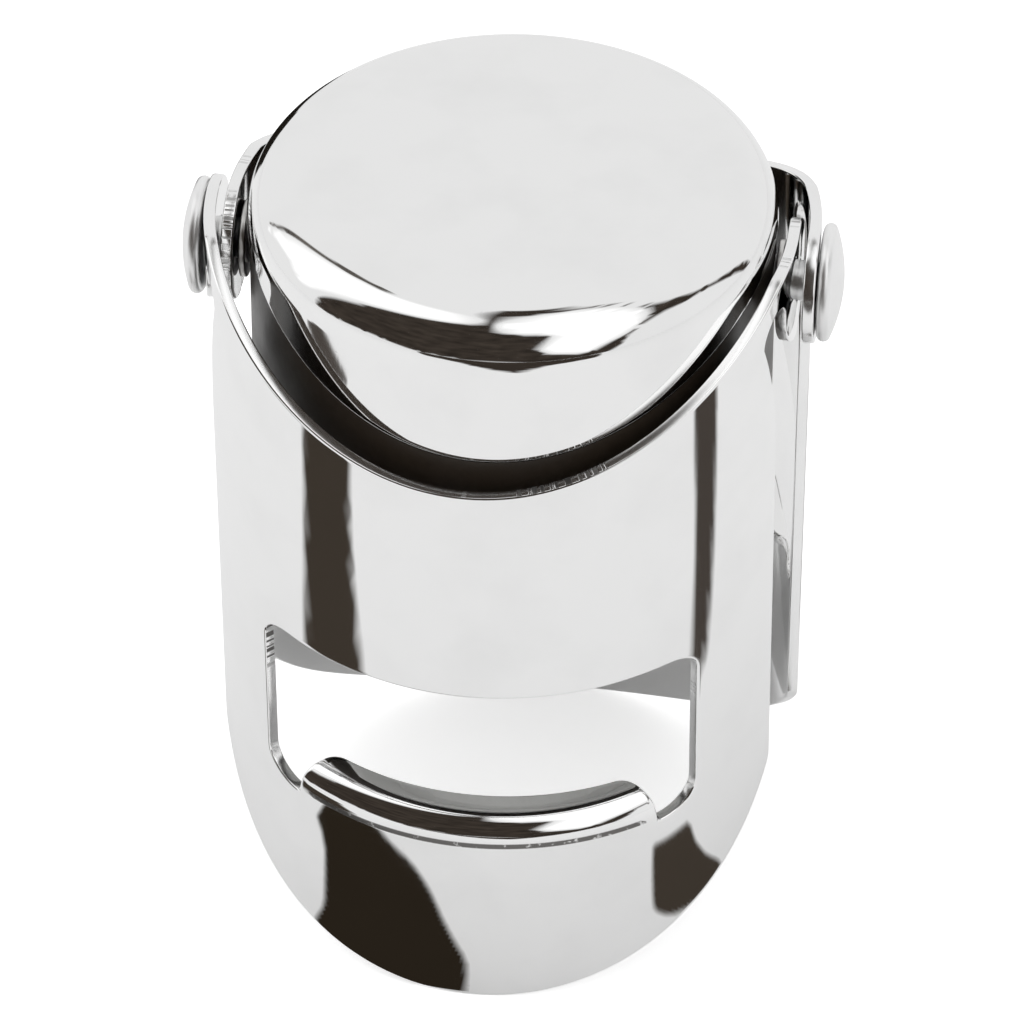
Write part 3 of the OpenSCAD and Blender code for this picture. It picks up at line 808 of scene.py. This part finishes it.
def makeCap():
    c = cap
    outer, inner = capSection(0), capSection(c["wall"])
    share = np.linspace(0, 1, c["down"] + 1)
    soft = c["rimSoftness"]
    points, faces, columns = [], [], []
    for k in range(c["around"]):
        angle = 2 * math.pi * k / c["around"]
        outside = capWall(outer, share, angle, soft)
        inside = capWall(inner, share, angle, soft)
        down = Vector(outside[-1] - outside[-2]).normalized()
        inward = Vector((down.y, -down.x))
        if inward.x > 0:
            inward = -inward
        rim = []
        for base, sign in ((Vector(outside[-1]), 1), (Vector(inside[-1]), -1)):
            turn = [(base + inward * sign * soft * (1 - math.cos(a)) + down * soft * math.sin(a))
                    for a in np.radians((22.5, 45, 67.5, 90))]
            rim.append([tuple(p) for p in turn])
        line = list(outer[1:c["across"]]) + list(outside) + rim[0] + rim[1][::-1]
        line += list(inside[::-1]) + list(inner[1:c["across"]][::-1])
        first = len(points)
        points += [(r * math.cos(angle), r * math.sin(angle), z + pivotHeight) for r, z in line]
        columns.append(range(first, first + len(line)))
    poles = (len(points), len(points) + 1)
    points += [(0, 0, outer[0][1] + pivotHeight), (0, 0, inner[0][1] + pivotHeight)]
    for k in range(c["around"]):
        here, beside = columns[k], columns[(k + 1) % c["around"]]
        for a, b, p, q in zip(here, here[1:], beside, beside[1:]):
            faces.append((a, b, q, p))
        faces.append((poles[0], here[0], beside[0]))
        faces.append((here[-1], poles[1], beside[-1]))
    mesh = toMesh("capShell", points, faces)
    addPiece("capShell", mesh, "body", capSteel, ["cap"])
    print("cap pressed:", len(points), "points")


makeCap()


rivet = {
    "headRadius": 4.4, "headHeight": 1.75, "edgeRadius": 0.5, "journalRadius": 1.5,
    "rootRadius": 1.8, "rootIn": 9.4, "rootChamfer": 0.3,
    "shoulder": 19.646, "shoulderChamfer": 0.08, "headAt": 22.854,
}


def rivetSection():
    r = rivet
    edge = r["edgeRadius"]
    flat, rise = r["headRadius"] - edge, r["headHeight"] - edge
    dome = (flat ** 2 + rise ** 2 - edge ** 2) / (2 * (rise - edge))
    meet = math.atan2(flat, dome - rise)
    root, end, shoulder = r["rootRadius"], r["rootChamfer"], r["shoulderChamfer"]
    section = [(0, r["rootIn"]), (root - end, r["rootIn"]), (root, r["rootIn"] + end),
               (root, r["shoulder"] - shoulder), (root - shoulder, r["shoulder"]),
               (r["journalRadius"], r["shoulder"]), (r["journalRadius"], r["headAt"])]
    section += [(flat * 0.75, r["headAt"]), (flat, r["headAt"])]
    section += arcPoints((flat, r["headAt"] + edge), edge, -90, 90 - math.degrees(meet), 14)[1:]
    top = r["headAt"] + r["headHeight"] - dome
    section += [(dome * math.sin(a), top + dome * math.cos(a))
                for a in np.linspace(meet, 0, 24)[1:]]
    return section


washer = {"radius": 2.9, "bore": 1.55, "thickness": 0.5, "rimSoftness": 0.12, "boreSoftness": 0.06}


def washerSection():
    w = washer
    low, high = rivet["shoulder"], rivet["shoulder"] + w["thickness"]
    return softCorners([
        (w["bore"], low + 0.2, 0), (w["bore"], low, w["boreSoftness"]),
        (w["radius"], low, w["rimSoftness"]), (w["radius"], high, w["rimSoftness"]),
        (w["bore"], high, w["boreSoftness"]), (w["bore"], low + 0.25, 0)], 4)


def makePairTree():
    # Stands a turned piece on its side at both ends of the pivot
    tree, given, out = newTree("atBothEnds", "GeometryNodeTree", [
        ("Geometry", "NodeSocketGeometry", None), ("Pivot height", "NodeSocketFloat", 0.024),
        ("Ends", "NodeSocketInt", 2), ("Steel", "NodeSocketMaterial", None),
    ], [("Geometry", "NodeSocketGeometry")])
    get = given.outputs
    ends = addNode(tree, "GeometryNodePoints")
    feed(tree, ends.inputs["Count"], get["Ends"])
    height = addNode(tree, "ShaderNodeCombineXYZ")
    feed(tree, height.inputs["Z"], get["Pivot height"])
    feed(tree, ends.inputs["Position"], height.outputs[0])
    turn = addNode(tree, "ShaderNodeCombineXYZ")
    turn.inputs["Y"].default_value = math.pi / 2
    index = addNode(tree, "GeometryNodeInputIndex")
    feed(tree, turn.inputs["Z"], maths(tree, "MULTIPLY", index.outputs[0], math.pi))
    asTurn = addNode(tree, "FunctionNodeEulerToRotation")
    feed(tree, asTurn.inputs[0], turn.outputs[0])
    place = addNode(tree, "GeometryNodeInstanceOnPoints")
    feed(tree, place.inputs["Points"], ends.outputs[0])
    feed(tree, place.inputs["Instance"], get["Geometry"])
    feed(tree, place.inputs["Rotation"], asTurn.outputs[0])
    finishTree(tree, place.outputs[0], get["Steel"], out)
    return tree


def makeRivets():
    tree = makePairTree()
    for name, section, steel, slot in (
            ("rivets", rivetSection(), rivetSteel, "polished_steel"),
            ("washers", washerSection(), plainSteel, "plain_steel")):
        stock = newObject(name + "Stock", toMesh(name, *lathe(section, 96)))
        mesh = runTree(stock, tree, {"Pivot height": pivotHeight * mm, "Steel": steel})
        mesh.name = name
        mesh.shade_smooth()
        stands = [side + name[:-1] for side in ("left_", "right_")]
        addPiece(name, mesh, "body", steel, stands)
        bpy.data.objects.remove(stock)
    print("rivets and washers set")


makeRivets()


def makeSpring():
    # A joined copy of the coil, because it shortens as the seal slides up
    coil = bmesh.new()
    coil.from_mesh(nodes["spring"].data)
    bmesh.ops.remove_doubles(coil, verts=coil.verts, dist=1e-7)
    mesh = bpy.data.meshes.new("coilSpring")
    coil.to_mesh(mesh)
    coil.free()
    mesh.shade_smooth()
    piece = addPiece("coilSpring", mesh, "body", plainSteel, ["spring"])
    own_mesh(piece)


makeSpring()

for nodeName, material in (("core", blackPlastic), ("plunger", ivoryPlastic), ("seal", greyRubber),
                           ("retaining_screw", plainSteel), ("stop_washer", plainSteel)):
    node = nodes[nodeName]
    node.data.materials.clear()
    node.data.materials.append(material)


# A pale tent round the object, with its opening and lamps as cards
studio = {
    "floorLevel": -33.02, "floorSize": 2400.0, "floorColour": (0.88, 0.88, 0.88),
    "floorLift": 0.55, "floorMirrorLift": 0.03, "tent": (0.84, 0.84, 0.84),
    "mottleScale": 9.0, "domeRadius": 900.0,
    "lampPower": 1.2, "lampSize": 0.7, "lampPlace": (-0.25, -0.1, 0.9),
}
# Dome cards are drawn on a chart of the sky: degrees from the zenith, +X right, +Y away
lampOutline = [
    (3, 22), (14, 13), (26, 3), (37, -5), (47, -15), (52, -28), (55, -40), (52, -52), (51, -72),
    (22, -72), (20, -45), (17, -30), (1, -29), (-3, -12), (-1, 5),
]
cards = {
    "tentOpening": {
        "on": "dome", "colour": (0.040, 0.032, 0.026),
        "mottle": 0.9, "softness": 1.2, "spacing": 4.0,
        "outline": [
            (-3, 46), (2, 28), (14, 18), (26, 8), (38, 1), (50, 4), (57, 7), (66, 18), (76, 38),
            (86, 45), (90, 40), (84, 28), (72, 12), (64, 4), (62, -4), (56, -14), (57, -30),
            (61, -45), (68, -56), (68, -76), (60, -82), (40, -94), (2, -95), (-20, -94),
            (-50, -82), (-60, -70), (-80, -46), (-92, -32), (-95, -20), (-60, -14), (-45, -14),
            (-30, -11), (-10, -13), (-5, -2), (-8, 14), (-5, 30),
        ],
        "holes": [lampOutline],
    },
    "lampWindow": {
        "on": "dome", "colour": (1.15, 1.15, 1.15),
        "mottle": 0.0, "softness": 1.0, "spacing": 6.0,
        "outline": lampOutline,
    },
    "sideWindow": {
        "on": "dome", "colour": (1.15, 1.15, 1.15),
        "mottle": 0.0, "softness": 3.0, "spacing": 6.0,
        "outline": [
            (-80, 44), (-62, 31), (-40, 29), (-20, 29), (-18, 22), (-8, 14), (-5, -2), (-10, -13),
            (-30, -11), (-58, -14), (-82, -9), (-80, 4), (-66, 18),
        ],
    },
    "sideSeam": {
        "on": "dome", "colour": (0.10, 0.09, 0.08),
        "mottle": 0.9, "softness": 1.0, "spacing": 2.0,
        "outline": [
            (-78, 44), (-60, 34), (-40, 32.5), (-22, 34), (-18, 37), (-15, 30), (-16, 22),
            (-20, 22), (-21, 28), (-40, 28.5), (-60, 30),
        ],
    },
    "leftPole": {
        "on": "dome", "colour": (0.06, 0.05, 0.045),
        "mottle": 0.4, "softness": 1.5, "spacing": 3.0,
        "outline": [
            (-92, -32), (-95, -20), (-106, -16), (-122, -4), (-128, -2), (-124, -10), (-112, -23),
        ],
    },
    "frontFloorFlag": {
        "on": "floor", "colour": (0.040, 0.032, 0.026),
        "mottle": 0.5, "softness": 6.0, "spacing": 18.0,
        "outline": [
            (-450, -770), (-195, -336), (-103, -331), (-21, -191), (0, -133), (25, -110),
            (43, -155), (100, -241), (186, -255), (204, -228), (590, -660), (300, -830),
            (0, -880), (-300, -830),
        ],
    },
    "backFloorFlag": {
        "on": "floor", "colour": (0.012, 0.010, 0.008),
        "mottle": 0.2, "softness": 3.0, "spacing": 7.0,
        "outline": [
            (-38, 98), (-69, 105), (-113, 129), (-167, 203), (-215, 258), (-265, 328),
            (-325, 457), (-400, 600), (-500, 845), (-720, 1245), (-640, 1290), (-400, 830),
            (-300, 600), (-150, 332), (-118, 285), (-86, 240), (-56, 172), (-34, 118),
        ],
    },
    # painted shadow: a dark sheet on the floor, seen only in reflections, standing in for the
    # object's own shadow reaching left from its foot
    "leftFloorPaintedShadow": {
        "on": "floor", "colour": (0.045, 0.036, 0.028),
        "mottle": 0.2, "softness": 2.2, "spacing": 3.0,
        "outline": [
            (-78, -28), (-64, -24), (-52, -20), (-42, -18), (-27, -17), (-27, -29), (-32, -38),
            (-40, -41), (-49, -45), (-58, -53), (-66, -60),
        ],
    },
    "leftFloorStrip": {
        "on": "floor", "colour": (0.060, 0.050, 0.043),
        "mottle": 0.7, "softness": 0.8, "spacing": 1.0,
        "outline": [
            (-90.5, -8.5), (-92.3, -10), (-92.8, -17.7), (-91.2, -22.4), (-87, -30.6),
            (-79.2, -42), (-76.5, -42.5), (-79.4, -35), (-84, -25), (-87, -16.8), (-89.2, -12),
        ],
    },
    # painted shadow: a dark sheet at the left foot, seen only in reflections, standing in for the
    # object's shadow on the floor there
    "leftFootPaintedShadow": {
        "on": "floor", "colour": (0.020, 0.015, 0.010),
        "mottle": 0.25, "softness": 0.7, "spacing": 0.35,
        "outline": [
            (-28, -17.6), (-23.8, -18.6), (-19.7, -17.2), (-17.3, -16.3), (-16.5, -15.2),
            (-15, -14.2), (-11, -14.6), (-7, -15.4), (-0.9, -16.4), (-1.0, -20.2), (-1.4, -22.3),
            (-3.5, -24.4), (-6.9, -27.4), (-8.9, -28.5), (-12, -29.4), (-16, -29), (-20, -28.4),
            (-24, -28), (-28, -29),
        ],
    },
    # painted shadow: a dark sheet on the floor, seen only in reflections, standing in for the
    # object's own shadow reaching right from its foot
    "rightFloorPaintedShadow": {
        "on": "floor", "colour": (0.06, 0.05, 0.043),
        "mottle": 0.2, "softness": 2.0, "spacing": 2.0,
        "outline": [
            (84, -16), (75, -16.5), (62, -14), (50, -15), (41, -15), (44, -11), (48, -7),
            (55, -4.5), (62, -2.5), (72, -0.5), (86, 1),
        ],
    },
    # painted shadow: a dark sheet at the right foot, seen only in reflections, standing in for the
    # object's shadow on the floor there
    "rightFootPaintedShadow": {
        "on": "floor", "colour": (0.045, 0.036, 0.028),
        "mottle": 0.5, "softness": 0.7, "spacing": 0.35,
        "outline": [
            (29.8, -12.7), (26.6, -10.7), (24.6, -6.4), (22.2, -8.2), (19.6, -11.8),
            (18.0, -14.2), (17.9, -16.4), (19.2, -17.2), (21.1, -18.0), (23.1, -18.8),
            (24.9, -19.4), (26.2, -17.7), (28.2, -15.1),
        ],
    },
}


def onDome(x, y):
    away = math.hypot(x, y)
    tilt = math.radians(away)
    reach = studio["domeRadius"]
    if away < 1e-6:
        return (0, 0, reach)
    return (reach * math.sin(tilt) * x / away, reach * math.sin(tilt) * y / away,
            reach * math.cos(tilt) + pivotHeight)


def onFloor(x, y):
    return (x, y, studio["floorLevel"] + 0.3)


def softened(loop):
    # Cuts each corner a quarter of the way along its sides
    line = []
    for (x, y), (nextX, nextY) in zip(loop, loop[1:] + loop[:1]):
        line += [(x + (nextX - x) * t, y + (nextY - y) * t) for t in (0.25, 0.75)]
    return line


def cardMaterial(name, card):
    material = bpy.data.materials.new(name)
    material.use_nodes = True
    tree = material.node_tree
    tree.nodes.clear()
    coordinates = addNode(tree, "ShaderNodeTexCoord")
    mottle = noiseOf(tree, coordinates.outputs["Object"], studio["mottleScale"], 4.0)
    patches = maths(tree, "MULTIPLY", mottle, 2 * card["mottle"])
    strength = maths(tree, "ADD", 1 - card["mottle"], patches)
    glow = addNode(tree, "ShaderNodeEmission")
    glow.inputs["Color"].default_value = (*card["colour"], 1)
    feed(tree, glow.inputs["Strength"], strength)
    clear = addNode(tree, "ShaderNodeBsdfTransparent")
    solidity = addNode(tree, "ShaderNodeAttribute", attribute_name="solidity")
    mix = addNode(tree, "ShaderNodeMixShader")
    feed(tree, mix.inputs[0], solidity.outputs["Fac"])
    feed(tree, mix.inputs[1], clear.outputs[0])
    feed(tree, mix.inputs[2], glow.outputs[0])
    feed(tree, addNode(tree, "ShaderNodeOutputMaterial").inputs["Surface"], mix.outputs[0])
    return material


def makeCards():
    for order, (name, card) in enumerate(cards.items()):
        spacing = card["spacing"]
        loops = [evenly(loop + loop[:1], spacing)[:-1]
                 for loop in map(softened, [card["outline"]] + card.get("holes", []))]
        spread = [p[1] for p in loops[0]]
        rows = np.arange(min(spread), max(spread), spacing)
        points, faces = fillFace(loops[0], loops[1:], spacing, rows)
        border = np.array([p for loop in loops for p in loop])
        far = np.array([np.min(np.hypot(*(border - p).T)) for p in points])
        place = onDome if card["on"] == "dome" else onFloor
        mesh = bpy.data.meshes.new(name)
        lower = 1 - 0.01 * order if card["on"] == "dome" else 1
        mesh.from_pydata([tuple(c * mm * lower for c in place(*p)) for p in points], [], faces)
        markPoints(mesh, "solidity", np.clip(far / card["softness"], 0, 1))
        piece = newObject(name, mesh)
        mesh.materials.append(cardMaterial(name, card))
        piece.visible_camera = piece.visible_diffuse = piece.visible_shadow = False
        piece.visible_transmission = piece.visible_volume_scatter = False
    print("cards hung:", len(cards))


def makeStudio():
    s = studio
    half = s["floorSize"] / 2
    corners = [(x * half, y * half, s["floorLevel"])
               for x, y in ((-1, -1), (1, -1), (1, 1), (-1, 1))]
    floor = newObject("floor", toMesh("floor", corners, [(0, 1, 2, 3)]))
    material, tree, shader = newMaterial("floorWhite")
    shader.inputs["Base Color"].default_value = (*s["floorColour"], 1)
    shader.inputs["Roughness"].default_value = 0.9
    seen = addNode(tree, "ShaderNodeLightPath")
    direct = maths(tree, "MULTIPLY", seen.outputs["Is Camera Ray"], s["floorLift"])
    inMirrors = maths(tree, "MULTIPLY", seen.outputs["Is Glossy Ray"], s["floorMirrorLift"])
    glow = maths(tree, "ADD", direct, inMirrors)
    shader.inputs["Emission Color"].default_value = (1, 1, 1, 1)
    feed(tree, shader.inputs["Emission Strength"], glow)
    floor.data.materials.append(material)

    world = bpy.data.worlds.new("tent")
    world.use_nodes = True
    bpy.context.scene.world = world
    tree = world.node_tree
    sky = tree.nodes["Background"]
    seen = addNode(tree, "ShaderNodeLightPath")
    colour = mixed(tree, "RGBA", seen.outputs["Is Camera Ray"], s["tent"], (1, 1, 1))
    feed(tree, sky.inputs["Color"], colour)

    lamp = bpy.data.lights.new("softLamp", "AREA")
    lamp.energy, lamp.shape, lamp.size = s["lampPower"], "DISK", s["lampSize"]
    holder = newObject("softLamp", lamp)
    holder.location = s["lampPlace"]
    holder.rotation_euler = Vector(s["lampPlace"]).to_track_quat("Z", "Y").to_euler()
    holder.visible_glossy = False
    bpy.context.scene.view_settings.view_transform = "Standard"


makeStudio()
makeCards()
print("studio lit")
